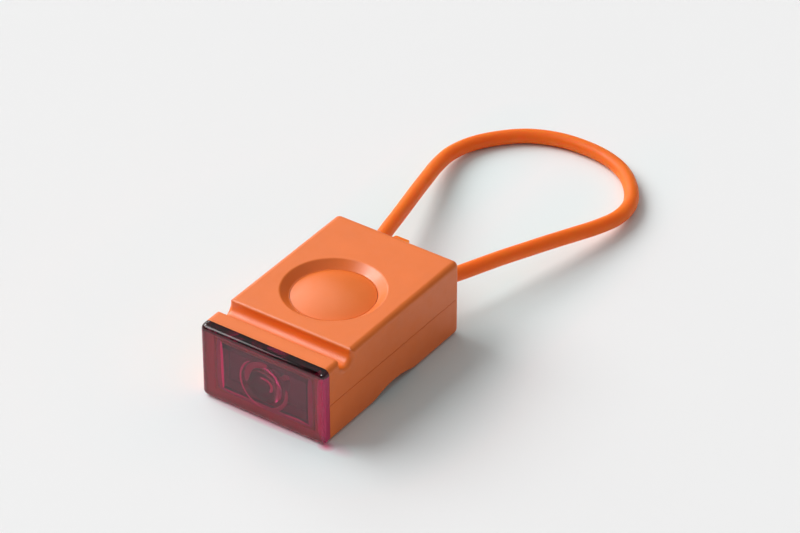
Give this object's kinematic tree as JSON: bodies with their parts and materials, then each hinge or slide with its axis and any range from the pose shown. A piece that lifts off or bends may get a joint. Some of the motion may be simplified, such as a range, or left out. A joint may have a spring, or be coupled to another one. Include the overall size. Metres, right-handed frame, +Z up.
{
  "type": "bicycle rear light",
  "caption": "Compact rechargeable bicycle rear light: red lens cap, push button in a round dish, hook groove, seat-post saddle and a silicone strap loop.",
  "frame": {"origin": "on the surface the light stands on, under the middle of the light's box, strap loop left out", "axes": "+Z up out of the button, -Y out of the lens, +Y towards the strap, +X to the right seen from behind the lens"},
  "size_m": [0.0428, 0.1101, 0.0164],
  "materials": {
    "housing": "fine satin moulding texture",
    "orange_silicone": "smooth matt silicone",
    "red_lens": "clear polished",
    "seal": "matt",
    "screw_steel": "zinc plated",
    "black_plastic": "fine matt",
    "white_board": "white solder mask",
    "led_ceramic": "matt ceramic",
    "clear_resin": "clear moulded resin",
    "red_wire": "smooth",
    "black_wire": "smooth",
    "green_board": "solder mask",
    "ferrite": "matt sintered",
    "ceramic_parts": "matt ceramic with tinned ends",
    "white_plastic": "satin",
    "pouch_foil": "matt laminated foil",
    "foam": "open foam",
    "socket_steel": "nickel plated"
  },
  "bodies": {
    "housing": {"upper_shell": "housing", "lower_shell": "housing", "shell_gasket": "seal", "shell_screws": "screw_steel", "lens": "red_lens", "lens_gasket": "orange_silicone", "bezel": "black_plastic", "led_board": "white_board", "led_package": "led_ceramic", "led_dome": "clear_resin", "led_wires": "red_wire", "main_board": "green_board", "controller_chip": "black_plastic", "charger_coil": "ferrite", "small_parts": "ceramic_parts", "charge_light": "clear_resin", "switch_body": "black_plastic", "button_seal": "seal", "battery_cell": "pouch_foil", "battery_pad": "foam", "battery_lead_red": "red_wire", "battery_lead_black": "black_wire", "socket_shell": "socket_steel", "socket_tongue": "black_plastic", "strap_ends": "orange_silicone", "strap_loop": "orange_silicone"},
    "button": {"button_cap": "housing"},
    "plunger": {"switch_plunger": "white_plastic"},
    "cover": {"port_cover": "orange_silicone"}
  },
  "joints": [
    {"name": "button_press", "type": "slide", "parent": "housing", "child": "button", "axis": [0, 0, -1], "range_m": [0, 0.0005], "stiffness_N_per_m": 3000, "springref_m": -0.0003},
    {"name": "plunger_press", "type": "slide", "parent": "housing", "child": "plunger", "axis": [0, 0, -1], "range_m": [0, 0.0005]},
    {"name": "cover_hinge", "type": "hinge", "parent": "housing", "child": "cover", "pos_m": [0, 0.0201, 0.0069], "axis": [-1, 0, 0], "range_deg": [0, 90]}
  ],
  "couplings": [
    {"joint": "plunger_press", "follows": "button_press", "ratio": 1}
  ]
}
